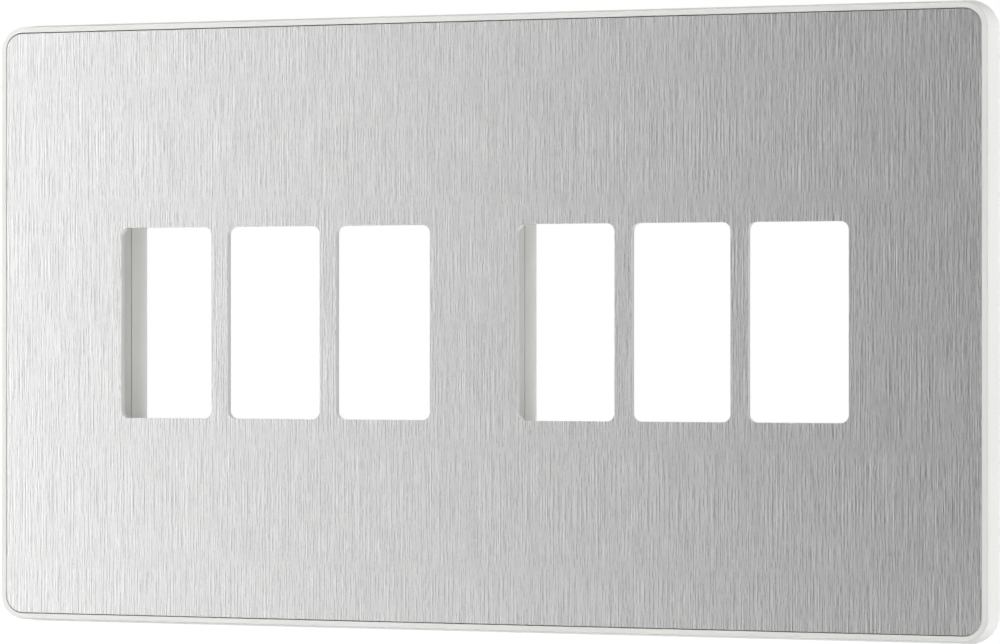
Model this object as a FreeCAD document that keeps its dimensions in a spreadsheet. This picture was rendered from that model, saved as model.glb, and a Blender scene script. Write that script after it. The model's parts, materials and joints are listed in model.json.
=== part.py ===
import FreeCAD, Part
import math
import os

# Grid switch plate: a double width, screwless front plate for two groups of three grid modules.
# A brushed steel facia lies in a white moulded carrier, and the carrier snaps onto a moulded
# fixing frame that is screwed to the wall box.
#
# Frame: the origin is the centre of the plane of the wall, +X runs across the width, +Z is up,
# and the front faces -Y. A station is a distance forward of the wall. Lengths are millimetres.

SIZES = [
    ("plate_width", 150.0, "outline of the rim where it meets the wall, across"),
    ("plate_height", 90.0, "outline of the rim where it meets the wall, upright"),
    ("rim_depth", 5.7, "front face of the steel to the wall"),
    ("rim_flare", 0.73, "how far each side of the rim leans out from front to wall"),
    ("rim_corner", 3.5, "outer corner radius at the front of the rim"),
    ("rim_wall", 1.5, "wall of the rim"),
    ("rim_round", 0.15, "rounding of the rim's front edge"),
    ("bezel_width", 0.79, "white border above and below the steel"),
    ("facia_gap", 0.11, "gap between the steel's edge and the border, above and below"),
    ("facia_side_gap", 0.03, "the same gap, left and right"),
    ("lip_round", 0.05, "rounding of the border's inner edge"),
    ("facia_thickness", 1.3, "steel sheet"),
    ("facia_edge_break", 0.05, "broken front edge of the steel sheet"),
    ("aperture_width", 14.35, "one module's opening, across"),
    ("aperture_height", 28.25, "one module's opening, upright"),
    ("aperture_corner", 1.2, "corner radius of an opening"),
    ("aperture_pitch", 16.9, "centre to centre within a group"),
    ("apertures_in_group", 3, "openings in one group"),
    ("group_spacing", 61.4, "centre to centre of the two groups"),
    ("film_thickness", 0.1, "adhesive film behind the steel"),
    ("film_inset", 1.5, "film held back from every edge"),
    ("web_thickness", 1.2, "carrier wall that backs the steel"),
    ("cutout_side_margin", 0.28, "group cut-out beyond the outer openings, each side"),
    ("cutout_end_margin", 0.45, "group cut-out above and below the openings"),
    ("cutout_corner", 0.25, "corner radius of a group cut-out"),
    ("collar_wall", 1.2, "wall of the collars round the group cut-outs"),
    ("collar_joint_gap", 0.3, "shadow gap between the carrier's and the frame's collars"),
    ("collar_projection", 5.1, "how far the frame's collars reach behind the wall plane"),
    ("collar_edge_round", 0.1, "rounded rear edge inside the frame's collars"),
    ("frame_thickness", 1.5, "plate of the fixing frame"),
    ("frame_clearance", 0.35, "fixing frame inside the rim, each side"),
    ("frame_corner", 2.0, "corner radius of the fixing frame"),
    ("rebate_depth", 0.5, "step in the fixing frame that takes the carrier's collar"),
    ("rebate_clearance", 0.35, "room round the carrier's collar in that step"),
    ("rib_thickness", 1.0, "stiffening ribs behind the carrier's web"),
    ("rib_pitch", 20.0, "upright ribs, centre to centre"),
    ("rib_count", 6, "upright ribs above the cut-outs, and as many below"),
    ("long_rib_height", 29.0, "long level ribs above and below the centre line"),
    ("side_rib_height", 7.0, "short level ribs above and below the centre line"),
    ("catch_length", 8.0, "snap catch on the rim"),
    ("catch_depth", 0.7, "snap catch, front to back"),
    ("catch_bite", 0.55, "how far a catch holds the fixing frame's edge"),
    ("catch_pitch", 45.0, "catches on the long sides, centre to centre"),
    ("catch_count", 3, "catches on each long side"),
    ("catch_clearance", 0.1, "room round a seated catch"),
    ("screw_spacing", 120.6, "fixing screws of a double wall box, centre to centre"),
    ("screw_hole", 4.2, "clearance hole of a 3.5 mm screw"),
    ("screw_sink", 6.8, "countersink of the screw's head"),
    ("screw_sink_angle", 90.0, "countersink, full angle in degrees"),
    ("screw_pad", 10.0, "raised pad round a screw hole"),
    ("screw_pad_rise", 1.0, "pad in front of the fixing frame's plate"),
    ("screw_relief", 7.8, "hole in the carrier's web over a screw's head"),
    ("strip_width", 5.0, "earth spring strip"),
    ("strip_thickness", 0.3, "earth spring strip"),
    ("strip_tail_height", 2.4, "lower end of the strip's tail, above the screw's centre"),
    ("strip_tail_length", 2.8, "flat tail that lies over the edge of the screw's head"),
    ("strip_base_height", 9.0, "lower end of the strip's flat base, above the screw's centre"),
    ("strip_base_length", 9.0, "flat base against the web"),
    ("strip_rise_length", 6.0, "sloping tongue, measured upright"),
    ("strip_tip_length", 2.0, "flat tip against the steel"),
    ("strip_window_room", 0.7, "room round the strip in the web's window"),
    ("stake_diameter", 1.6, "stake that holds the strip"),
    ("stake_hole", 2.2, "hole in the strip over a stake"),
    ("stake_head", 3.2, "melted head of a stake"),
    ("stake_head_rise", 0.4, "thickness of that head"),
    ("stake_pitch", 4.5, "two stakes, centre to centre"),
]

DOCUMENT = FreeCAD.newDocument("GridSwitchPlate")
SHEET = DOCUMENT.addObject("Spreadsheet::Sheet", "Sizes")

# Stations, widths and heights that more than one piece takes from the sheet. The steel keeps one
# distance from the front of the rim all round; the border is wider where its gap is narrower.
FACIA_WIDTH = "(Sizes.plate_width - 2 * (Sizes.rim_flare + Sizes.bezel_width + Sizes.facia_gap))"
FACIA_HEIGHT = "(Sizes.plate_height - 2 * (Sizes.rim_flare + Sizes.bezel_width + Sizes.facia_gap))"
FACIA_CORNER = "(Sizes.rim_corner - Sizes.bezel_width - Sizes.facia_gap)"
RECESS_WIDTH = f"({FACIA_WIDTH} + 2 * Sizes.facia_side_gap)"
RECESS_HEIGHT = f"({FACIA_HEIGHT} + 2 * Sizes.facia_gap)"
RECESS_CORNER = f"({FACIA_CORNER} + Sizes.facia_side_gap)"
FACIA_BACK = "(Sizes.rim_depth - Sizes.facia_thickness)"
WEB_FRONT = "(Sizes.rim_depth - Sizes.facia_thickness - Sizes.film_thickness)"
WEB_BACK = "(Sizes.rim_depth - Sizes.facia_thickness - Sizes.film_thickness - Sizes.web_thickness)"
CUTOUT_WIDTH = (
    "((Sizes.apertures_in_group - 1) * Sizes.aperture_pitch + Sizes.aperture_width"
    " + 2 * Sizes.cutout_side_margin)"
)
CUTOUT_HEIGHT = "(Sizes.aperture_height + 2 * Sizes.cutout_end_margin)"
GROUP_X = "(Sizes.group_spacing / 2)"
SCREW_X = "(Sizes.screw_spacing / 2)"
REBATE_FLOOR = "(Sizes.frame_thickness - Sizes.rebate_depth)"
CARRIER_COLLAR_BACK = f"({REBATE_FLOOR} + Sizes.collar_joint_gap)"
PAD_FRONT = "(Sizes.frame_thickness + Sizes.screw_pad_rise)"
BASE_MIDDLE = "(Sizes.strip_base_height + Sizes.strip_base_length / 2)"
BASE_END = "(Sizes.strip_base_height + Sizes.strip_base_length)"
STRIP_END = f"({BASE_END} + Sizes.strip_rise_length + Sizes.strip_tip_length)"


def fill_sheet():
    """Write every driving size to the sheet, with its alias and what it measures."""
    for row, (alias, number, note) in enumerate(SIZES, start=1):
        SHEET.set(f"A{row}", alias)
        SHEET.set(f"B{row}", str(number))
        SHEET.set(f"C{row}", note)
        SHEET.setAlias(f"B{row}", alias)
    DOCUMENT.recompute()


def value(expression):
    """Return the number that an expression on the sheet gives now."""
    result = SHEET.evalExpression(expression)
    return float(getattr(result, "Value", result))


def flared(half_of_rear, station):
    """Return the expression of a half size of the rim that narrows forward of the wall."""
    return f"({half_of_rear} - Sizes.rim_flare * ({station}) / Sizes.rim_depth)"


def new_body(label):
    """Make an empty body that carries the name of its piece."""
    body = DOCUMENT.addObject("PartDesign::Body", label)
    body.Label = label
    return body


def origin_plane(body, role):
    """Return one of the body's own origin planes by its role."""
    for feature in body.Origin.OriginFeatures:
        if feature.Role == role:
            return feature
    raise RuntimeError(f"{body.Label} has no {role}")


def new_sketch(body, name, offset="0", role="XZ_Plane"):
    """Attach a sketch to an origin plane of the body, moved along the plane's normal."""
    sketch = body.newObject("Sketcher::SketchObject", name)
    sketch.AttachmentSupport = [(origin_plane(body, role), "")]
    sketch.MapMode = "FlatFace"
    sketch.setExpression("AttachmentOffset.Base.z", offset)
    return sketch


def dimension(sketch, name, constraint, expression):
    """Add a named dimension and tie it to the sheet."""
    index = sketch.addConstraint(constraint)
    sketch.renameConstraint(index, name)
    sketch.setExpression(f"Constraints.{name}", expression)


def add_rectangle(sketch, right, top, width, height, tag=""):
    """Draw a sharp rectangle; right and top place its right and top sides from the origin."""
    from Sketcher import Constraint
    x1, z1 = value(right), value(top)
    x0, z0 = x1 - value(width), z1 - value(height)
    corners = [(x0, z0), (x1, z0), (x1, z1), (x0, z1)]
    first = sketch.GeometryCount
    for start, end in zip(corners, corners[1:] + corners[:1]):
        line = Part.LineSegment(FreeCAD.Vector(*start, 0), FreeCAD.Vector(*end, 0))
        sketch.addGeometry(line, False)
    for step in range(4):
        following = (step + 1) % 4
        sketch.addConstraint(Constraint("Coincident", first + step, 2, first + following, 1))
        kind = "Horizontal" if step % 2 == 0 else "Vertical"
        sketch.addConstraint(Constraint(kind, first + step))
    bottom, right_side, top_side = first, first + 1, first + 2
    dimension(sketch, f"width{tag}", Constraint("DistanceX", bottom, 1, bottom, 2, x1 - x0), width)
    dimension(sketch, f"height{tag}",
              Constraint("DistanceY", right_side, 1, right_side, 2, z1 - z0), height)
    dimension(sketch, f"right{tag}", Constraint("DistanceX", -1, 1, right_side, 1, x1), right)
    dimension(sketch, f"top{tag}", Constraint("DistanceY", -1, 1, top_side, 1, z1), top)


def add_rounded_rectangle(sketch, centre_x, width, height, radius):
    """Draw a rectangle with round corners, centred on the level line, by four lines and arcs."""
    from Sketcher import Constraint
    middle = value(centre_x)
    half_width, half_height = value(width) / 2, value(height) / 2
    round_off = value(radius)
    inner_x, inner_z = half_width - round_off, half_height - round_off
    ends = [
        ((-inner_x, -half_height), (inner_x, -half_height)),
        ((half_width, -inner_z), (half_width, inner_z)),
        ((inner_x, half_height), (-inner_x, half_height)),
        ((-half_width, inner_z), (-half_width, -inner_z)),
    ]
    for (ax, az), (bx, bz) in ends:
        line = Part.LineSegment(FreeCAD.Vector(middle + ax, az, 0), FreeCAD.Vector(middle + bx, bz, 0))
        sketch.addGeometry(line, False)
    hubs = [(inner_x, -inner_z), (inner_x, inner_z), (-inner_x, inner_z), (-inner_x, -inner_z)]
    for turn, (hx, hz) in enumerate(hubs):
        start = (turn - 1) * math.pi / 2
        circle = Part.Circle(FreeCAD.Vector(middle + hx, hz, 0), FreeCAD.Vector(0, 0, 1), round_off)
        sketch.addGeometry(Part.ArcOfCircle(circle, start, start + math.pi / 2), False)
    for corner in range(4):
        arc, following = corner + 4, (corner + 1) % 4
        sketch.addConstraint(Constraint("Tangent", corner, 2, arc, 1))
        sketch.addConstraint(Constraint("Tangent", arc, 2, following, 1))
        kind = "Horizontal" if corner % 2 == 0 else "Vertical"
        sketch.addConstraint(Constraint(kind, corner))
    for arc in (5, 6, 7):
        sketch.addConstraint(Constraint("Equal", 4, arc))
    dimension(sketch, "radius", Constraint("Radius", 4, round_off), radius)
    dimension(sketch, "width", Constraint("DistanceX", 3, 1, 1, 1, 2 * half_width), width)
    dimension(sketch, "height", Constraint("DistanceY", 0, 1, 2, 1, 2 * half_height), height)
    right = f"{centre_x} + {width} / 2"
    dimension(sketch, "right", Constraint("DistanceX", -1, 1, 1, 1, value(right)), right)
    dimension(sketch, "top", Constraint("DistanceY", -1, 1, 2, 1, half_height), f"{height} / 2")


def add_circle(sketch, centre_x, centre_z, diameter, tag=""):
    """Draw a circle whose centre and diameter come from the sheet."""
    from Sketcher import Constraint
    index = sketch.GeometryCount
    middle = FreeCAD.Vector(value(centre_x), value(centre_z), 0)
    circle = Part.Circle(middle, FreeCAD.Vector(0, 0, 1), value(diameter) / 2)
    sketch.addGeometry(circle, False)
    dimension(sketch, f"diameter{tag}", Constraint("Diameter", index, value(diameter)), diameter)
    dimension(sketch, f"x{tag}", Constraint("DistanceX", -1, 1, index, 3, middle.x), centre_x)
    if value(centre_z) == 0:
        sketch.addConstraint(Constraint("PointOnObject", index, 3, -1))
    else:
        dimension(sketch, f"z{tag}", Constraint("DistanceY", -1, 1, index, 3, middle.y), centre_z)


def add_outline(sketch, points, tag="point"):
    """Draw a closed outline of straight lines whose corners are pairs of expressions."""
    from Sketcher import Constraint
    corners = [FreeCAD.Vector(value(across), value(along), 0) for across, along in points]
    count = len(corners)
    for index in range(count):
        sketch.addGeometry(Part.LineSegment(corners[index], corners[(index + 1) % count]), False)
    for index in range(count):
        sketch.addConstraint(Constraint("Coincident", index, 2, (index + 1) % count, 1))
    for index, (across, along) in enumerate(points):
        corner = corners[index]
        dimension(sketch, f"{tag}x{index}",
                  Constraint("DistanceX", -1, 1, index, 1, corner.x), across)
        dimension(sketch, f"{tag}y{index}",
                  Constraint("DistanceY", -1, 1, index, 1, corner.y), along)


def pad(body, name, sketch, length, rearward=False, centred=False):
    """Raise a sketch into a solid, forward of its plane unless it is said to go rearward."""
    feature = body.newObject("PartDesign::Pad", name)
    feature.Profile = sketch
    feature.setExpression("Length", length)
    feature.Reversed = rearward
    if centred:
        feature.SideType = "Symmetric"
    sketch.Visibility = False
    body.Tip = feature
    DOCUMENT.recompute()
    return feature


def pocket(body, name, sketch, depth=None, forward=False):
    """Cut a sketch out of the body, rearward of its plane unless it is said to go forward."""
    before = body.Shape.Volume
    feature = body.newObject("PartDesign::Pocket", name)
    feature.Profile = sketch
    if depth is None:
        feature.Type = "ThroughAll"
    else:
        feature.setExpression("Length", depth)
    feature.Reversed = forward
    body.Tip = feature
    DOCUMENT.recompute()
    if body.Shape.Volume >= before:
        raise RuntimeError(f"{name} cuts nothing")
    return feature


def mirror(body, name, feature, role="YZ_Plane"):
    """Repeat one feature on the other side of a plane of the body."""
    mirrored = body.newObject("PartDesign::Mirrored", name)
    mirrored.Originals = [feature]
    mirrored.MirrorPlane = (origin_plane(body, role), [""])
    body.Tip = mirrored
    DOCUMENT.recompute()
    return mirrored


def row_and_mirror(body, name, feature, count, pitch, direction, role):
    """Repeat one feature in a row along an axis of the body, and the row across a plane."""
    grid = body.newObject("PartDesign::MultiTransform", name)
    row = body.newObject("PartDesign::LinearPattern", f"{name}Row")
    row.Direction = (origin_plane(body, direction), [""])
    row.setExpression("Length", f"({count} - 1) * {pitch}")
    row.setExpression("Occurrences", count)
    other_side = body.newObject("PartDesign::Mirrored", f"{name}Mirror")
    other_side.MirrorPlane = (origin_plane(body, role), [""])
    grid.Originals = [feature]
    grid.Transformations = [row, other_side]
    body.Tip = grid
    DOCUMENT.recompute()
    return grid


def edge_names(shape, wanted):
    """Name the edges of a shape whose midpoint and ends satisfy a test."""
    names = []
    for index, edge in enumerate(shape.Edges, start=1):
        middle = edge.valueAt((edge.FirstParameter + edge.LastParameter) / 2)
        if wanted(edge, middle):
            names.append(f"Edge{index}")
    return names


def dress(body, kind, name, size_property, size, wanted):
    """Round or chamfer the edges of the body that satisfy a test."""
    base = body.Tip
    names = edge_names(base.Shape, wanted)
    if not names:
        raise RuntimeError(f"{name} finds no edge")
    feature = body.newObject(kind, name)
    feature.Base = (base, names)
    feature.setExpression(size_property, size)
    body.Tip = feature
    DOCUMENT.recompute()
    return feature


def build_facia():
    """Steel sheet with six openings and a broken front edge."""
    body = new_body("facia_plate")
    outline = new_sketch(body, "FaciaOutline", FACIA_BACK)
    add_rounded_rectangle(outline, "0", FACIA_WIDTH, FACIA_HEIGHT, FACIA_CORNER)
    pad(body, "FaciaSheet", outline, "Sizes.facia_thickness")
    opening = new_sketch(body, "ApertureOutline", "Sizes.rim_depth")
    first_x = f"({GROUP_X} - Sizes.aperture_pitch * (Sizes.apertures_in_group - 1) / 2)"
    add_rounded_rectangle(opening, first_x, "Sizes.aperture_width", "Sizes.aperture_height",
                          "Sizes.aperture_corner")
    cut = pocket(body, "Aperture", opening)
    row_and_mirror(body, "Apertures", cut, "Sizes.apertures_in_group", "Sizes.aperture_pitch",
                   "X_Axis", "YZ_Plane")
    front = -value("Sizes.rim_depth")
    half_width = value(FACIA_WIDTH) / 2 - value(FACIA_CORNER)
    half_height = value(FACIA_HEIGHT) / 2 - value(FACIA_CORNER)

    def on_front_rim(edge, middle):
        outer = abs(middle.x) > half_width or abs(middle.z) > half_height
        return outer and abs(middle.y - front) < 1e-6

    dress(body, "PartDesign::Chamfer", "FaciaEdge", "Size", "Sizes.facia_edge_break", on_front_rim)
    return body


def build_film():
    """Die-cut adhesive film between the steel and the carrier's web."""
    body = new_body("bonding_film")
    outline = new_sketch(body, "FilmOutline", WEB_FRONT)
    add_rounded_rectangle(outline, "0", f"({FACIA_WIDTH} - 2 * Sizes.film_inset)",
                          f"({FACIA_HEIGHT} - 2 * Sizes.film_inset)",
                          f"({FACIA_CORNER} - Sizes.film_inset / 2)")
    pad(body, "FilmSheet", outline, "Sizes.film_thickness")
    opening = new_sketch(body, "FilmOpeningOutline", FACIA_BACK)
    add_rounded_rectangle(opening, GROUP_X, f"({CUTOUT_WIDTH} + 2 * Sizes.film_inset)",
                          f"({CUTOUT_HEIGHT} + 2 * Sizes.film_inset)", "Sizes.cutout_corner")
    cut = pocket(body, "FilmOpening", opening)
    mirror(body, "FilmOpenings", cut)
    window = new_sketch(body, "FilmWindowOutline", FACIA_BACK)
    add_strip_window(window)
    pocket(body, "FilmWindow", window)
    return body


def add_strip_window(sketch):
    """Draw the window through which the earth spring's tongue reaches the steel."""
    room = "Sizes.strip_window_room"
    add_rectangle(sketch, f"-{SCREW_X} + Sizes.strip_width / 2 + {room}", f"{STRIP_END} + {room}",
                  f"(Sizes.strip_width + 2 * {room})", f"({STRIP_END} - {BASE_END} + 2 * {room})")


def build_carrier():
    """White moulding: flared rim, border, web, collars, ribs, catches and stakes."""
    body = new_body("carrier_frame")
    rear = new_sketch(body, "RimAtWall")
    add_rounded_rectangle(rear, "0", "Sizes.plate_width", "Sizes.plate_height",
                          "(Sizes.rim_corner + Sizes.rim_flare)")
    front = new_sketch(body, "RimAtFront", "Sizes.rim_depth")
    add_rounded_rectangle(front, "0", "(Sizes.plate_width - 2 * Sizes.rim_flare)",
                          "(Sizes.plate_height - 2 * Sizes.rim_flare)", "Sizes.rim_corner")
    rim = body.newObject("PartDesign::AdditiveLoft", "Rim")
    rim.Profile = rear
    rim.Sections = [front]
    rim.Ruled = True
    body.Tip = rim
    DOCUMENT.recompute()
    hollow_rim(body)
    recess = new_sketch(body, "FaciaRecessOutline", "Sizes.rim_depth")
    add_rounded_rectangle(recess, "0", RECESS_WIDTH, RECESS_HEIGHT, RECESS_CORNER)
    pocket(body, "FaciaRecess", recess, "Sizes.facia_thickness + Sizes.film_thickness")
    add_carrier_collars(body)
    add_ribs(body)
    add_catches(body)
    cut_web(body)
    add_stakes(body)
    round_rim(body)
    return body


def hollow_rim(body):
    """Hollow the rim from behind, with walls that follow its lean."""
    half_width = "(Sizes.plate_width / 2 - Sizes.rim_wall)"
    half_height = "(Sizes.plate_height / 2 - Sizes.rim_wall)"
    corner = "(Sizes.rim_corner + Sizes.rim_flare - Sizes.rim_wall)"
    sections = []
    for name, station in (("HollowAtWall", "0"), ("HollowAtWeb", WEB_BACK)):
        section = new_sketch(body, name, station)
        add_rounded_rectangle(section, "0", f"(2 * {flared(half_width, station)})",
                              f"(2 * {flared(half_height, station)})", flared(corner, station))
        sections.append(section)
    before = body.Shape.Volume
    hollow = body.newObject("PartDesign::SubtractiveLoft", "Hollow")
    hollow.Profile = sections[0]
    hollow.Sections = [sections[1]]
    hollow.Ruled = True
    body.Tip = hollow
    DOCUMENT.recompute()
    if body.Shape.Volume >= before:
        raise RuntimeError("Hollow cuts nothing")


def add_carrier_collars(body):
    """Raise a collar behind the web round each group, and cut both groups through."""
    outline = new_sketch(body, "CarrierCollarOutline", WEB_BACK)
    add_rounded_rectangle(outline, GROUP_X, f"({CUTOUT_WIDTH} + 2 * Sizes.collar_wall)",
                          f"({CUTOUT_HEIGHT} + 2 * Sizes.collar_wall)",
                          "(Sizes.cutout_corner + Sizes.collar_wall)")
    collar = pad(body, "CarrierCollar", outline, f"{WEB_BACK} - {CARRIER_COLLAR_BACK}",
                 rearward=True)
    mirror(body, "CarrierCollars", collar)
    opening = new_sketch(body, "CarrierCutoutOutline", WEB_FRONT)
    add_rounded_rectangle(opening, GROUP_X, CUTOUT_WIDTH, CUTOUT_HEIGHT, "Sizes.cutout_corner")
    cut = pocket(body, "CarrierCutout", opening)
    mirror(body, "CarrierCutouts", cut)


def add_ribs(body):
    """Stiffen the web with ribs on which the fixing frame seats."""
    rise = f"({WEB_BACK} - Sizes.frame_thickness)"
    thickness = "Sizes.rib_thickness"
    reach_x = flared("(Sizes.plate_width / 2 - Sizes.rim_wall)", "Sizes.frame_thickness")
    reach_z = flared("(Sizes.plate_height / 2 - Sizes.rim_wall)", "Sizes.frame_thickness")
    collar_x = f"({CUTOUT_WIDTH} / 2 + Sizes.collar_wall)"
    collar_z = f"({CUTOUT_HEIGHT} / 2 + Sizes.collar_wall)"
    sink = "(Sizes.rib_thickness / 2)"

    upright = new_sketch(body, "UprightRibOutline", WEB_BACK)
    first_x = "((1 - Sizes.rib_count) * Sizes.rib_pitch / 2)"
    add_rectangle(upright, f"{first_x} + {thickness} / 2", f"{reach_z} + {sink}", thickness,
                  f"({reach_z} - {collar_z} + 2 * {sink})")
    rib = pad(body, "UprightRib", upright, rise, rearward=True)
    row_and_mirror(body, "UprightRibs", rib, "Sizes.rib_count", "Sizes.rib_pitch", "X_Axis",
                   "XY_Plane")

    level = new_sketch(body, "LongRibOutline", WEB_BACK)
    add_rectangle(level, f"{reach_x} + {sink}", f"Sizes.long_rib_height + {thickness} / 2",
                  f"2 * ({reach_x} + {sink})", thickness)
    rib = pad(body, "LongRib", level, rise, rearward=True)
    mirror(body, "LongRibs", rib, "XY_Plane")

    top = f"Sizes.side_rib_height + {thickness} / 2"
    outer = f"({GROUP_X} + {collar_x})"
    inner = f"({GROUP_X} - {collar_x})"
    side = new_sketch(body, "SideRibOutline", WEB_BACK)
    add_rectangle(side, f"{reach_x} + {sink}", top, f"({reach_x} - {outer} + 2 * {sink})",
                  thickness, "a")
    add_rectangle(side, f"{inner} + {sink}", top, f"2 * ({inner} + {sink})", thickness, "b")
    add_rectangle(side, f"-{outer} + {sink}", top, f"({reach_x} - {outer} + 2 * {sink})",
                  thickness, "c")
    rib = pad(body, "SideRib", side, rise, rearward=True)
    mirror(body, "SideRibs", rib, "XY_Plane")


def catch_outline(half_size, upright):
    """Return a catch's wedge in section, from inside the rim's wall to its holding edge."""
    root = f"({half_size} + Sizes.rim_wall / 3)"
    tip = f"({flared(half_size, 'Sizes.frame_thickness')} - Sizes.frame_clearance"
    tip += " - Sizes.catch_bite)"
    slope = f"({flared(half_size, 'Sizes.catch_depth')})"
    if upright:
        points = [("0", root), ("0", slope), ("-Sizes.catch_depth / 3", tip),
                  ("-Sizes.catch_depth", tip), ("-Sizes.catch_depth", root)]
    else:
        points = [(root, "0"), (slope, "0"), (tip, "-Sizes.catch_depth / 3"),
                  (tip, "-Sizes.catch_depth"), (root, "-Sizes.catch_depth")]
    return points


def add_catches(body):
    """Put snap catches inside the rim, behind the seated fixing frame's edge."""
    half_height = "(Sizes.plate_height / 2 - Sizes.rim_wall)"
    half_width = "(Sizes.plate_width / 2 - Sizes.rim_wall)"
    first_x = "((1 - Sizes.catch_count) * Sizes.catch_pitch / 2)"
    section = new_sketch(body, "LongSideCatchSection", first_x, "YZ_Plane")
    add_outline(section, catch_outline(half_height, True))
    catch = pad(body, "LongSideCatch", section, "Sizes.catch_length", centred=True)
    row_and_mirror(body, "LongSideCatches", catch, "Sizes.catch_count", "Sizes.catch_pitch",
                   "X_Axis", "XY_Plane")
    section = new_sketch(body, "ShortSideCatchSection", "0", "XY_Plane")
    add_outline(section, catch_outline(half_width, False))
    catch = pad(body, "ShortSideCatch", section, "Sizes.catch_length", centred=True)
    mirror(body, "ShortSideCatches", catch)


def cut_web(body):
    """Open the web over both screws' heads, and clear the earth spring's whole run behind it."""
    relief = new_sketch(body, "ScrewReliefOutline", WEB_FRONT)
    add_circle(relief, SCREW_X, "0", "Sizes.screw_relief")
    cut = pocket(body, "ScrewRelief", relief)
    mirror(body, "ScrewReliefs", cut)
    window = new_sketch(body, "StripWindowOutline", FACIA_BACK)
    add_strip_window(window)
    pocket(body, "StripWindow", window)
    room = "Sizes.strip_window_room"
    channel = new_sketch(body, "StripChannelOutline", WEB_BACK)
    lower = f"(Sizes.strip_tail_height - {room})"
    upper = f"({STRIP_END} + {room})"
    add_rectangle(channel, f"-{SCREW_X} + Sizes.strip_width / 2 + {room}", upper,
                  f"(Sizes.strip_width + 2 * {room})", f"({upper} - {lower})")
    pocket(body, "StripChannel", channel)


def add_stakes(body):
    """Add the two stakes that hold the earth spring, with their melted heads."""
    strip_back = f"({WEB_BACK} - Sizes.strip_thickness)"
    parts = (("Stake", WEB_BACK, "Sizes.stake_diameter",
              "(Sizes.strip_thickness + Sizes.stake_head_rise)"),
             ("StakeHead", strip_back, "Sizes.stake_head", "Sizes.stake_head_rise"))
    for name, station, diameter, rise in parts:
        outline = new_sketch(body, f"{name}Outline", station)
        for tag, side in (("a", "-"), ("b", "+")):
            add_circle(outline, f"-{SCREW_X}", f"{BASE_MIDDLE} {side} Sizes.stake_pitch / 2",
                       diameter, tag)
        pad(body, name, outline, rise, rearward=True)


def front_outline_test(width, height, radius):
    """Return a test for the edges of one rounded rectangle on the rim's front face."""
    front = -value("Sizes.rim_depth")
    edge_x, edge_z, corner = value(width) / 2, value(height) / 2, value(radius)
    hub_x, hub_z = edge_x - corner, edge_z - corner
    tolerance = 1e-4

    def on_outline(edge, middle):
        if abs(middle.y - front) > tolerance:
            return False
        across, upright = abs(middle.x), abs(middle.z)
        if across > hub_x and upright > hub_z:
            return abs(math.hypot(across - hub_x, upright - hub_z) - corner) < tolerance
        return abs(across - edge_x) < tolerance or abs(upright - edge_z) < tolerance

    return on_outline


def round_rim(body):
    """Round the rim's outer front edge and the inner edge of its border."""
    outer = front_outline_test("Sizes.plate_width - 2 * Sizes.rim_flare",
                               "Sizes.plate_height - 2 * Sizes.rim_flare", "Sizes.rim_corner")
    dress(body, "PartDesign::Fillet", "RimRound", "Radius", "Sizes.rim_round", outer)
    inner = front_outline_test(RECESS_WIDTH, RECESS_HEIGHT, RECESS_CORNER)
    dress(body, "PartDesign::Fillet", "LipRound", "Radius", "Sizes.lip_round", inner)


def build_frame():
    """White moulding that screws to the wall box: plate, pads, rebates, collars and notches."""
    body = new_body("fixing_frame")
    reach_x = flared("(Sizes.plate_width / 2 - Sizes.rim_wall)", "Sizes.frame_thickness")
    reach_z = flared("(Sizes.plate_height / 2 - Sizes.rim_wall)", "Sizes.frame_thickness")
    half_width = f"({reach_x} - Sizes.frame_clearance)"
    half_height = f"({reach_z} - Sizes.frame_clearance)"
    outline = new_sketch(body, "FrameOutline")
    add_rounded_rectangle(outline, "0", f"(2 * {half_width})", f"(2 * {half_height})",
                          "Sizes.frame_corner")
    pad(body, "FramePlate", outline, "Sizes.frame_thickness")

    raised = new_sketch(body, "ScrewPadOutline", "Sizes.frame_thickness")
    add_circle(raised, SCREW_X, "0", "Sizes.screw_pad")
    boss = pad(body, "ScrewPad", raised, "Sizes.screw_pad_rise")
    mirror(body, "ScrewPads", boss)

    collar = new_sketch(body, "FrameCollarOutline")
    add_rounded_rectangle(collar, GROUP_X, f"({CUTOUT_WIDTH} + 2 * Sizes.collar_wall)",
                          f"({CUTOUT_HEIGHT} + 2 * Sizes.collar_wall)",
                          "(Sizes.cutout_corner + Sizes.collar_wall)")
    ring = pad(body, "FrameCollar", collar, "Sizes.collar_projection", rearward=True)
    mirror(body, "FrameCollars", ring)

    room = "(Sizes.collar_wall + Sizes.rebate_clearance)"
    step = new_sketch(body, "CollarRebateOutline", PAD_FRONT)
    add_rounded_rectangle(step, GROUP_X, f"({CUTOUT_WIDTH} + 2 * {room})",
                          f"({CUTOUT_HEIGHT} + 2 * {room})", f"(Sizes.cutout_corner + {room})")
    cut = pocket(body, "CollarRebate", step, "Sizes.rebate_depth + Sizes.screw_pad_rise")
    mirror(body, "CollarRebates", cut)

    opening = new_sketch(body, "FrameCutoutOutline", "Sizes.frame_thickness")
    add_rounded_rectangle(opening, GROUP_X, CUTOUT_WIDTH, CUTOUT_HEIGHT, "Sizes.cutout_corner")
    cut = pocket(body, "FrameCutout", opening)
    mirror(body, "FrameCutouts", cut)

    cut_notches(body, half_width, half_height)
    drill_screw_holes(body)
    round_collar_mouths(body)
    return body


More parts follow.
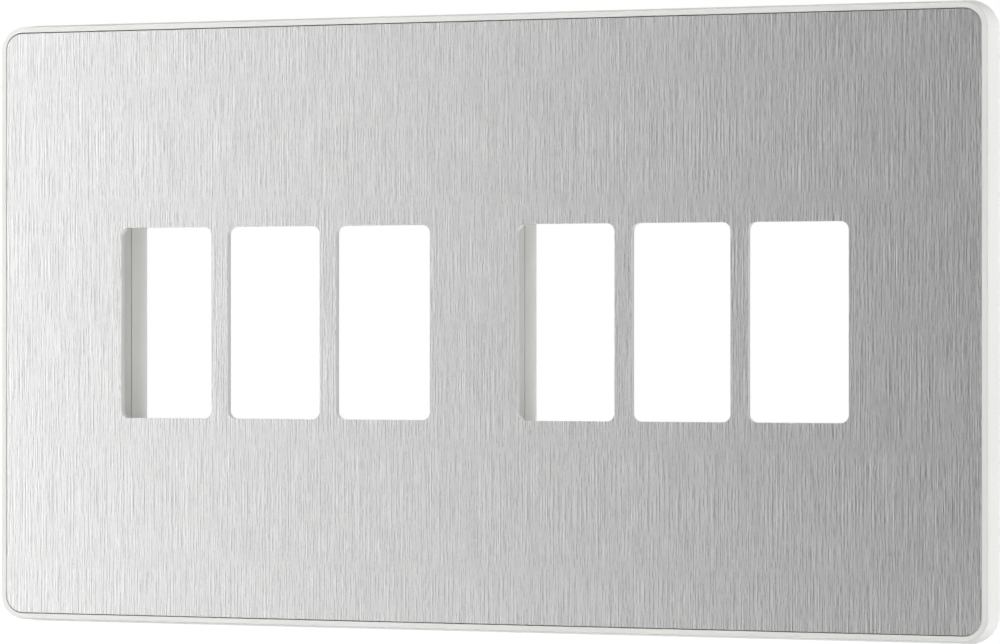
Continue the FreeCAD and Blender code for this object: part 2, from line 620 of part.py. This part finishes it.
def cut_notches(body, half_width, half_height):
    """Notch the fixing frame's rear edge where the carrier's catches sit."""
    depth = "(Sizes.catch_depth + Sizes.catch_clearance)"
    length = "(Sizes.catch_length + 2 * Sizes.catch_clearance)"
    bite = "(Sizes.catch_bite + Sizes.catch_clearance)"
    beyond = "Sizes.frame_clearance"
    first_x = "((1 - Sizes.catch_count) * Sizes.catch_pitch / 2)"
    notch = new_sketch(body, "LongSideNotchOutline")
    add_rectangle(notch, f"{first_x} + {length} / 2", f"{half_height} + {beyond}", length,
                  f"({bite} + {beyond})")
    cut = pocket(body, "LongSideNotch", notch, depth, forward=True)
    row_and_mirror(body, "LongSideNotches", cut, "Sizes.catch_count", "Sizes.catch_pitch",
                   "X_Axis", "XY_Plane")
    notch = new_sketch(body, "ShortSideNotchOutline")
    add_rectangle(notch, f"{half_width} + {beyond}", f"{length} / 2", f"({bite} + {beyond})",
                  length)
    cut = pocket(body, "ShortSideNotch", notch, depth, forward=True)
    mirror(body, "ShortSideNotches", cut)


def drill_screw_holes(body):
    """Drill and countersink the two fixing holes."""
    centres = new_sketch(body, "ScrewCentres", PAD_FRONT)
    add_circle(centres, SCREW_X, "0", "Sizes.screw_hole", "a")
    add_circle(centres, f"-{SCREW_X}", "0", "Sizes.screw_hole", "b")
    DOCUMENT.recompute()
    before = body.Shape.Volume
    hole = body.newObject("PartDesign::Hole", "ScrewHoles")
    hole.Profile = centres
    hole.Threaded = False
    hole.DepthType = "ThroughAll"
    hole.HoleCutType = "Countersink"
    hole.setExpression("Diameter", "Sizes.screw_hole")
    hole.HoleCutCustomValues = True
    hole.setExpression("HoleCutDiameter", "Sizes.screw_sink")
    hole.setExpression("HoleCutCountersinkAngle", "Sizes.screw_sink_angle")
    body.Tip = hole
    DOCUMENT.recompute()
    if body.Shape.Volume >= before:
        raise RuntimeError("ScrewHoles cuts nothing")


def round_collar_mouths(body):
    """Round the inner rear edges of the fixing frame's collars."""
    rear = value("Sizes.collar_projection")
    half_width = value(CUTOUT_WIDTH) / 2
    half_height = value(CUTOUT_HEIGHT) / 2
    group = value(GROUP_X)
    slack = value("Sizes.collar_wall") / 2

    def on_inner_rear(edge, middle):
        across = abs(abs(middle.x) - group)
        inside = across < half_width + slack and abs(middle.z) < half_height + slack
        return inside and abs(middle.y - rear) < 1e-6

    dress(body, "PartDesign::Fillet", "CollarMouth", "Radius", "Sizes.collar_edge_round",
          on_inner_rear)


def build_earth_spring():
    """Folded bronze strip from the back of the steel to the fixing screw's pad."""
    body = new_body("earth_spring")
    section = new_sketch(body, "StripSection", f"-{SCREW_X}", "YZ_Plane")
    thick = "Sizes.strip_thickness"
    tail_end = "Sizes.strip_tail_height"
    tail_bend = "(Sizes.strip_tail_height + Sizes.strip_tail_length)"
    base_start = "Sizes.strip_base_height"
    tip_start = f"({BASE_END} + Sizes.strip_rise_length)"
    back_line = [(PAD_FRONT, tail_end), (PAD_FRONT, tail_bend),
                 (f"({WEB_BACK} - {thick})", base_start), (f"({WEB_BACK} - {thick})", BASE_END),
                 (f"({FACIA_BACK} - {thick})", tip_start), (f"({FACIA_BACK} - {thick})", STRIP_END)]
    front_line = [(f"({station} + {thick})", height) for station, height in reversed(back_line)]
    points = [(f"-{station}", height) for station, height in back_line + front_line]
    add_outline(section, points)
    pad(body, "Strip", section, "Sizes.strip_width", centred=True)
    holes = new_sketch(body, "StakeHoleOutline", WEB_BACK)
    for tag, side in (("a", "-"), ("b", "+")):
        add_circle(holes, f"-{SCREW_X}", f"{BASE_MIDDLE} {side} Sizes.stake_pitch / 2",
                   "Sizes.stake_hole", tag)
    pocket(body, "StakeHoles", holes, f"2 * {thick}")
    return body


def check_document():
    """Stop if any feature failed to build."""
    for item in DOCUMENT.Objects:
        if "Invalid" in item.State or "Error" in item.State:
            raise RuntimeError(f"{item.Name} is in state {item.State}")


def export(body):
    """Write one piece after checking that it is a single sound solid."""
    shape = body.Shape
    if shape.isNull() or not shape.isValid() or len(shape.Solids) != 1:
        raise RuntimeError(f"{body.Label} is not one sound solid")
    shape.exportStep(f"parts/{body.Label}.step")
    box = shape.BoundBox
    print(f"{body.Label}: {shape.Volume:.1f} mm3, {box.XLength:.2f} x {box.YLength:.2f}"
          f" x {box.ZLength:.2f} mm, {len(shape.Faces)} faces")


def main():
    """Build every piece, check it and write it."""
    fill_sheet()
    pieces = [build_facia(), build_film(), build_carrier(), build_frame(), build_earth_spring()]
    DOCUMENT.recompute()
    check_document()
    os.makedirs("parts", exist_ok=True)
    for piece in pieces:
        export(piece)


main()
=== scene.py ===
"""Looks of the grid switch plate: finishes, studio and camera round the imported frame."""

import json
import logging
import math
from dataclasses import dataclass, field
from enum import Enum
from typing import Any, Sequence

import bpy
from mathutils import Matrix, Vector

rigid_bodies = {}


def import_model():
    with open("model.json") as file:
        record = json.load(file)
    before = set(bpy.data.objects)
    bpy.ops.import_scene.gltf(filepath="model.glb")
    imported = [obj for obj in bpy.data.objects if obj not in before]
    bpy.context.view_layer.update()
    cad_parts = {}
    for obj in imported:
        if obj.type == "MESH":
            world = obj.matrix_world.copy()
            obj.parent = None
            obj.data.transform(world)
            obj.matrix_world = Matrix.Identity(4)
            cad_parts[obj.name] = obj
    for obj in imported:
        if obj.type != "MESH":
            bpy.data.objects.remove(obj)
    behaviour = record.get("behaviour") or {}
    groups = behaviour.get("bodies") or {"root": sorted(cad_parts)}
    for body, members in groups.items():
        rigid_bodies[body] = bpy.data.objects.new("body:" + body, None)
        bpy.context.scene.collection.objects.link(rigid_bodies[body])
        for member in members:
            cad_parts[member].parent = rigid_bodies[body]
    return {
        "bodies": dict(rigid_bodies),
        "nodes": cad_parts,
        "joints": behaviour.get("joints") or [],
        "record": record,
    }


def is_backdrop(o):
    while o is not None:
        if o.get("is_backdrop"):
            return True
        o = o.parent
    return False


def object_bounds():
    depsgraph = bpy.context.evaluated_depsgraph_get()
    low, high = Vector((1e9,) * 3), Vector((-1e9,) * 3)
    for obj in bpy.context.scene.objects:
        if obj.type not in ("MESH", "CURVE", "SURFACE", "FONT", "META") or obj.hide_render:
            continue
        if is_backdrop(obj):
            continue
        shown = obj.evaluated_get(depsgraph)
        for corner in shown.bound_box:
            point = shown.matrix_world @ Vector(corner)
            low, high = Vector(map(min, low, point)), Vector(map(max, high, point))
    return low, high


LOG = logging.getLogger("grid_switch_plate")
MILLIMETRE = 0.001
PLATE_MIDDLE = (0.0, 0.0, 0.0)
PURE_WHITE = (1.0, 1.0, 1.0, 1.0)
NOISE_MIDDLE = 0.5
MIX_COLOUR_INPUTS = (6, 7)
MIX_COLOUR_OUTPUT = 2

Number = float | int
Colour = tuple[float, float, float]
Point = tuple[float, float, float]
Span = tuple[float, float]


class Axis(Enum):
    """The three directions of the plate's own frame."""

    ACROSS = 0
    DEEP = 1
    UPRIGHT = 2


class Sock:
    """One output socket of a node tree that takes part in written shader maths."""

    def __init__(self, shop: "Shop", socket: bpy.types.NodeSocket | None) -> None:
        """Keep the socket and the tree that it belongs to.

        Args:
            shop: The node maker of the tree.
            socket: The output socket, or None at a node that ends the tree.
        """
        self.shop = shop
        self.socket = socket

    def _math(self, operation: str, *values: "Sock | Number") -> "Sock":
        """Add a Math node.

        Args:
            operation: The Math node's operation.
            *values: Its inputs, in order.

        Returns:
            The node's result.
        """
        inputs = dict(enumerate(values))
        return self.shop.node("ShaderNodeMath", {"operation": operation}, inputs)

    def __add__(self, other: "Sock | Number") -> "Sock":
        """Return the sum."""
        return self._math("ADD", self, other)

    def __radd__(self, other: Number) -> "Sock":
        """Return the sum with a plain number on the left."""
        return self._math("ADD", other, self)

    def __sub__(self, other: "Sock | Number") -> "Sock":
        """Return the difference."""
        return self._math("SUBTRACT", self, other)

    def __rsub__(self, other: Number) -> "Sock":
        """Return a plain number less this value."""
        return self._math("SUBTRACT", other, self)

    def __mul__(self, other: "Sock | Number") -> "Sock":
        """Return the product."""
        return self._math("MULTIPLY", self, other)

    def __rmul__(self, other: Number) -> "Sock":
        """Return the product with a plain number on the left."""
        return self._math("MULTIPLY", other, self)

    def maximum(self, other: "Sock | Number") -> "Sock":
        """Return the larger of two values."""
        return self._math("MAXIMUM", self, other)

    def step(self, low: float, high: float) -> "Sock":
        """Rise smoothly from 0 at the low value to 1 at the high value.

        Args:
            low: Where the rise starts.
            high: Where the rise ends.

        Returns:
            The smooth step.
        """
        settings = {"interpolation_type": "SMOOTHSTEP"}
        inputs = {"Value": self, "From Min": low, "From Max": high}
        return self.shop.node("ShaderNodeMapRange", settings, inputs)


class Shop:
    """Makes and links the nodes of one material's or world's tree."""

    def __init__(self, tree: bpy.types.NodeTree) -> None:
        """Clear a node tree and take it over.

        Args:
            tree: The tree of a material or a world.
        """
        self.tree = tree
        tree.nodes.clear()

    def node(
        self,
        kind: str,
        settings: dict[str, Any] | None = None,
        inputs: dict[str | int, Any] | None = None,
        output: str | int = 0,
    ) -> Sock:
        """Add one node.

        Args:
            kind: The node's type.
            settings: Its properties, which are set before its inputs.
            inputs: A value or a socket for each named or numbered input.
            output: The name or number of the output that is wanted.

        Returns:
            The wanted output.
        """
        made = self.tree.nodes.new(kind)
        for name, setting in (settings or {}).items():
            setattr(made, name, setting)
        for key, value in (inputs or {}).items():
            self._feed(made.inputs[key], value)
        return Sock(self, made.outputs[output]) if made.outputs else Sock(self, None)

    def _feed(self, target: bpy.types.NodeSocket, value: Any) -> None:
        """Link a socket or set a plain value on an input."""
        if isinstance(value, Sock):
            self.tree.links.new(value.socket, target)
        else:
            target.default_value = value

    def place(self) -> Sock:
        """Return the piece's own coordinates, in metres."""
        return self.node("ShaderNodeTexCoord", output="Object")

    def part_of(self, vector: Sock, axis: Axis) -> Sock:
        """Return one component of a vector."""
        return self.node("ShaderNodeSeparateXYZ", {}, {0: vector}, axis.value)

    def stretched(
        self, vector: Sock, scale: Point, turn: float = 0.0, shift: float = 0.0
    ) -> Sock:
        """Scale a vector, after a turn about the depth axis and a shift across.

        Args:
            vector: The coordinates.
            scale: How many pattern cells go into a metre, on each axis.
            turn: The turn in degrees.
            shift: The shift in metres.

        Returns:
            The new coordinates.
        """
        moves = {"Rotation": (0.0, math.radians(turn), 0.0), "Location": (shift, 0.0, 0.0)}
        turned = self.node(
            "ShaderNodeMapping", {"vector_type": "POINT"}, {"Vector": vector, **moves}
        )
        return self.node(
            "ShaderNodeVectorMath", {"operation": "MULTIPLY"}, {0: turned, 1: scale}
        )

    def noise(self, vector: Sock, detail: float = 2.0, roughness: float = 0.5) -> Sock:
        """Return a noise value of about 0.5, with cells one unit across."""
        inputs = {"Vector": vector, "Scale": 1.0, "Detail": detail, "Roughness": roughness}
        return self.node("ShaderNodeTexNoise", {}, inputs)

    def blend(self, factor: Sock, first: Any, second: Any) -> Sock:
        """Mix two colours.

        Args:
            factor: 0 gives the first colour, 1 the second.
            first: A colour or a socket.
            second: A colour or a socket.

        Returns:
            The mixed colour.
        """
        colours = [(*c, 1.0) if isinstance(c, tuple) else c for c in (first, second)]
        settings = {"data_type": "RGBA", "blend_type": "MIX"}
        inputs = {0: factor, **dict(zip(MIX_COLOUR_INPUTS, colours))}
        return self.node("ShaderNodeMix", settings, inputs, MIX_COLOUR_OUTPUT)

    def bump(self, height: Sock, distance: float, strength: float) -> Sock:
        """Return a normal that follows a height pattern."""
        inputs = {"Height": height, "Distance": distance, "Strength": strength}
        return self.node("ShaderNodeBump", {}, inputs, "Normal")

    def principled(self, inputs: dict[str | int, Any]) -> None:
        """End the tree in a principled surface.

        Args:
            inputs: A value or a socket for each named input of the surface.
        """
        surface = self.node("ShaderNodeBsdfPrincipled", {}, inputs, "BSDF")
        self.node("ShaderNodeOutputMaterial", {}, {"Surface": surface})


def new_material(name: str) -> tuple[bpy.types.Material, Shop]:
    """Make an empty node material.

    Args:
        name: The material's name.

    Returns:
        The material and the maker of its nodes.
    """
    material = bpy.data.materials.new(name)
    material.use_nodes = True
    return material, Shop(material.node_tree)


@dataclass(frozen=True)
class Pattern:
    """One noise pattern: cells in a metre on each axis, octaves and their roughness."""

    cells: Point
    detail: float = 2.0
    roughness: float = 0.5

    def build(self, shop: Shop, here: Sock) -> Sock:
        """Return the pattern's value at the piece's own coordinates."""
        return shop.noise(shop.stretched(here, self.cells), self.detail, self.roughness)


@dataclass(frozen=True)
class Relief:
    """How a pattern stands out of a surface: its depth in metres and its strength."""

    depth: float
    strength: float

    def build(self, shop: Shop, height: Sock) -> Sock:
        """Return the normal that the pattern's height gives."""
        return shop.bump(height, self.depth, self.strength)


@dataclass(frozen=True)
class Strokes:
    """One layer of brush strokes: cells in a metre on each axis, slant in degrees, share."""

    cells: Point
    slant: float
    share: float


@dataclass(frozen=True)
class BrushedSteel:
    """Satin steel sheet, brushed upright, with plain sheared edges.

    The sheared look starts at a share of the edge break behind the front, and is whole at
    the edge break itself.
    """

    front: float
    pale: Colour = (0.658, 0.654, 0.654)
    dark: Colour = (0.442, 0.438, 0.441)
    shade_span: Span = (0.2, 0.8)
    sheared: Colour = (0.56, 0.56, 0.55)
    edge_break: float = 0.05 * MILLIMETRE
    edge_start: float = 0.2
    roughness: float = 0.27
    grain_roughness: float = 0.48
    sheared_roughness: float = 0.12
    anisotropy: float = 0.75
    relief: Relief = Relief(2e-6, 0.15)
    strokes: tuple[Strokes, ...] = (
        Strokes((17000.0, 3000.0, 58.0), 0.03, 0.36),
        Strokes((15000.0, 3000.0, 170.0), -0.06, 0.38),
        Strokes((16000.0, 3000.0, 600.0), 0.08, 0.26),
    )
    groove_pitch: float = 0.21 * MILLIMETRE
    crispness: float = 0.23

    def stroke_layer(self, shop: Shop, here: Sock, layer: Strokes) -> Sock:
        """Make one layer of strokes, each set off against its neighbours on both sides.

        Args:
            shop: The maker of the material's nodes.
            here: The piece's own coordinates.
            layer: The size, slant and share of the strokes.

        Returns:
            The layer's share of the grain.
        """
        middle, left, right = (
            shop.noise(shop.stretched(here, layer.cells, layer.slant, shift), detail=0.0)
            for shift in (0.0, -self.groove_pitch, self.groove_pitch)
        )
        beside = left + right - 2.0 * NOISE_MIDDLE
        return (middle - beside * self.crispness) * layer.share

    def build(self) -> bpy.types.Material:
        """Make the material.

        Returns:
            The brushed steel.
        """
        material, shop = new_material("facia_steel")
        here = shop.place()
        layers = [self.stroke_layer(shop, here, layer) for layer in self.strokes]
        grain = sum(layers[1:], layers[0])
        depth = shop.part_of(here, Axis.DEEP)
        edge_start = self.front + self.edge_start * self.edge_break
        cut = depth.step(edge_start, self.front + self.edge_break)
        shade = grain.step(*self.shade_span)
        face = shop.blend(shade, self.dark, self.pale)
        grain_roughness = (grain - NOISE_MIDDLE) * self.grain_roughness
        shop.principled({
            "Base Color": shop.blend(cut, face, self.sheared),
            "Metallic": 1.0,
            "Roughness": self.roughness + grain_roughness + cut * self.sheared_roughness,
            "Anisotropic": self.anisotropy,
            "Normal": self.relief.build(shop, grain),
        })
        return material


@dataclass(frozen=True)
class SatinMoulding:
    """White moulded plastic with a fine satin texture."""

    colour: Colour = (0.905, 0.903, 0.877)
    shaded: Colour = (0.875, 0.873, 0.845)
    flow: Pattern = Pattern((45.0, 45.0, 45.0))
    flow_span: Span = (0.3, 0.7)
    texture: Pattern = Pattern((3200.0, 3200.0, 3200.0), roughness=0.6)
    roughness: float = 0.38
    roughness_spread: float = 0.2
    refraction: float = 1.5
    relief: Relief = Relief(4e-6, 0.4)

    def build(self) -> bpy.types.Material:
        """Make the material.

        Returns:
            The white plastic.
        """
        material, shop = new_material("moulding_white")
        here = shop.place()
        flow = self.flow.build(shop, here)
        texture = self.texture.build(shop, here)
        shop.principled({
            "Base Color": shop.blend(flow.step(*self.flow_span), self.shaded, self.colour),
            "Roughness": self.roughness + (texture - NOISE_MIDDLE) * self.roughness_spread,
            "IOR": self.refraction,
            "Normal": self.relief.build(shop, texture),
        })
        return material


@dataclass(frozen=True)
class AdhesiveFilm:
    """Thin milky adhesive film."""

    colour: Colour = (0.80, 0.80, 0.77)
    patchy: Colour = (0.70, 0.70, 0.67)
    patches: Pattern = Pattern((300.0, 300.0, 300.0), 3.0, 0.6)
    patch_span: Span = (0.4, 0.6)
    roughness: float = 0.3
    roughness_spread: float = 0.3

    def build(self) -> bpy.types.Material:
        """Make the material.

        Returns:
            The film.
        """
        material, shop = new_material("film_clear")
        patches = self.patches.build(shop, shop.place())
        shop.principled({
            "Base Color": shop.blend(patches.step(*self.patch_span), self.colour, self.patchy),
            "Roughness": self.roughness + patches * self.roughness_spread,
        })
        return material


@dataclass(frozen=True)
class SpringBronze:
    """Rolled bronze strip, bright with a little tarnish."""

    bright: Colour = (0.78, 0.55, 0.36)
    tarnished: Colour = (0.55, 0.36, 0.22)
    tarnish: Pattern = Pattern((350.0, 350.0, 350.0), 3.0, 0.6)
    tarnish_span: Span = (0.45, 0.75)
    rolling: Pattern = Pattern((4000.0, 4000.0, 90.0))
    roughness: float = 0.22
    roughness_spread: float = 0.2
    relief: Relief = Relief(3e-6, 0.4)

    def build(self) -> bpy.types.Material:
        """Make the material.

        Returns:
            The bronze.
        """
        material, shop = new_material("spring_bronze")
        here = shop.place()
        rolling = self.rolling.build(shop, here)
        tarnish = self.tarnish.build(shop, here).step(*self.tarnish_span)
        shop.principled({
            "Base Color": shop.blend(tarnish, self.bright, self.tarnished),
            "Metallic": 1.0,
            "Roughness": self.roughness + rolling * self.roughness_spread,
            "Normal": self.relief.build(shop, rolling),
        })
        return material


@dataclass
class PlateLooks:
    """Dresses the plate's own pieces, whose shapes are all the frame's."""

    steel: BrushedSteel
    moulding: SatinMoulding = field(default_factory=SatinMoulding)
    film: AdhesiveFilm = field(default_factory=AdhesiveFilm)
    bronze: SpringBronze = field(default_factory=SpringBronze)

    def dress(self, frame: dict[str, Any]) -> None:
        """Give every node the finish of its slot.

        Args:
            frame: The loaded frame.
        """
        finishes = {
            "facia_steel": self.steel.build(),
            "moulding_white": self.moulding.build(),
            "film_clear": self.film.build(),
            "spring_bronze": self.bronze.build(),
        }
        for part in frame["record"]["subparts"]:
            node = frame["nodes"][part["node"]]
            for slot in node.material_slots:
                slot.material = finishes[part["material_slot"]]
            LOG.info("%s has the finish %s", part["node"], part["material_slot"])


@dataclass(frozen=True)
class SoftBox:
    """A square or oblong lamp that points at the plate.

    Sizes are in metres and the strength is in watts. A lamp without glints lights the plate
    and isn't mirrored in it.
    """

    name: str
    place: Point
    size: tuple[float, float]
    strength: float
    glints: bool = True

    def build(self) -> None:
        """Make the lamp."""
        lamp = bpy.data.lights.new(self.name, "AREA")
        lamp.shape = "RECTANGLE"
        lamp.size, lamp.size_y = self.size
        lamp.energy = self.strength
        shown = bpy.data.objects.new(self.name, lamp)
        shown.location = self.place
        shown.visible_glossy = self.glints
        aim = Vector(PLATE_MIDDLE) - Vector(self.place)
        shown.rotation_euler = aim.to_track_quat("-Z", "Y").to_euler()
        bpy.context.scene.collection.objects.link(shown)
        LOG.info("lamp %s stands at %s", self.name, self.place)


@dataclass
class Studio:
    """Pale floor, white backdrop from the world, and soft lamps.

    Levels and the glow are shares of white, but for the floor's level, which is its height
    in metres. The room turns into the backdrop over a span of the view's depth component.
    """

    floor_level: float = -0.3
    floor_reach: float = 4.0
    floor_middle: float = 2.4
    floor_edges: int = 96
    floor_colour: Colour = (0.5, 0.5, 0.5)
    floor_glow: float = 0.95
    room_level: float = 0.25
    backdrop_level: float = 0.0
    backdrop_span: Span = (-0.15, 0.25)
    lamps: tuple[SoftBox, ...] = (
        SoftBox("left_near", (-0.745, -1.30, 0.0), (0.82, 1.6), 3.5),
        SoftBox("left_far", (-1.32, -0.70, 0.0), (0.90, 1.6), 38.5),
        SoftBox("right_behind", (1.33, 0.234, 0.0), (0.10, 0.85), 4.1),
        SoftBox("right_side", (1.34, 0.0, 0.0), (0.22, 1.2), 10.8),
        SoftBox("behind", (-0.1, 1.75, 0.25), (0.6, 0.6), 8.0, glints=False),
    )

    def build(self) -> None:
        """Make the world, the floor and the lamps."""
        self._build_world()
        self._build_floor()
        for lamp in self.lamps:
            lamp.build()

    @staticmethod
    def _seen(shop: Shop) -> Sock:
        """Return 1 for rays that show the background, and 0 for those that only light."""
        ways = ("Is Camera Ray", "Is Glossy Ray", "Is Transmission Ray")
        camera, glossy, through = (shop.node("ShaderNodeLightPath", output=way) for way in ways)
        return camera.maximum(glossy).maximum(through)

    def _build_world(self) -> None:
        """Make a backdrop that shows white and lights nothing, and a dim room before it."""
        world = bpy.data.worlds.new("studio")
        bpy.context.scene.world = world
        world.use_nodes = True
        shop = Shop(world.node_tree)
        way = shop.node("ShaderNodeTexCoord", output="Generated")
        behind = shop.part_of(way, Axis.DEEP).step(*self.backdrop_span)
        seen = self._seen(shop)
        backdrop = self.backdrop_level + seen * (1.0 - self.backdrop_level)
        level = self.room_level + behind * (backdrop - self.room_level)
        strength = level.maximum(shop.node("ShaderNodeLightPath", output="Is Camera Ray"))
        inputs = {"Color": PURE_WHITE, "Strength": strength}
        sky = shop.node("ShaderNodeBackground", {}, inputs)
        shop.node("ShaderNodeOutputWorld", {}, {"Surface": sky})

    def _build_floor(self) -> None:
        """Make the floor, which shows white and keeps the plate's shadow."""
        bpy.ops.object.select_all(action="DESELECT")
        bpy.ops.mesh.primitive_circle_add(
            vertices=self.floor_edges,
            radius=self.floor_reach,
            fill_type="NGON",
            location=(0.0, self.floor_middle, self.floor_level),
        )
        floor = bpy.context.active_object
        floor.name = "studio_floor"
        bpy.ops.object.transform_apply(location=True, rotation=True, scale=True)
        material, shop = new_material("pale_floor")
        matt = shop.node("ShaderNodeBsdfDiffuse", {}, {"Color": (*self.floor_colour, 1.0)})
        inputs = {"Color": PURE_WHITE, "Strength": self._seen(shop) * self.floor_glow}
        glow = shop.node("ShaderNodeEmission", {}, inputs)
        both = shop.node("ShaderNodeAddShader", {}, {0: matt, 1: glow})
        shop.node("ShaderNodeOutputMaterial", {}, {"Surface": both})
        floor.data.materials.append(material)
        floor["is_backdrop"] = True
        LOG.info("the floor lies at %.3f m", self.floor_level)


@dataclass(frozen=True)
class PhotoCamera:
    """The camera at the photograph's place, solved from its perspective.

    The place and the clipping distances are in metres, the lens and the sensor in
    millimetres, the tilt and the turn in degrees.
    """

    place: Point = (0.148298, -0.486243, -0.001738)
    tilt: float = 90.0
    turn: float = 16.7178
    lens: float = 125.692
    sensor: float = 36.0
    shift_up: float = 0.012576
    clip: Span = (0.01, 50.0)

    def build(self) -> None:
        """Make the camera and make it the scene's own."""
        data = bpy.data.cameras.new("photo_camera")
        data.sensor_width = self.sensor
        data.lens = self.lens
        data.shift_y = self.shift_up
        data.clip_start, data.clip_end = self.clip
        camera = bpy.data.objects.new("photo_camera", data)
        camera.location = self.place
        camera.rotation_euler = (math.radians(self.tilt), 0.0, math.radians(self.turn))
        bpy.context.scene.collection.objects.link(camera)
        bpy.context.scene.camera = camera
        LOG.info("the camera looks from %s", self.place)


def as_list(corners: Sequence[Sequence[float]]) -> list[list[float]]:
    """Return a box's corners as plain lists of numbers."""
    return [[float(number) for number in corner] for corner in corners]


def main() -> None:
    """Dress the plate and set up its studio and camera."""
    logging.basicConfig(level=logging.INFO, format="%(name)s: %(message)s")
    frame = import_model()
    frame_box = as_list(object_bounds())
    steel = BrushedSteel(front=frame_box[0][Axis.DEEP.value])
    PlateLooks(steel).dress(frame)
    Studio().build()
    PhotoCamera().build()
    bpy.context.scene.view_settings.view_transform = "Standard"


if __name__ == "__main__":
    main()
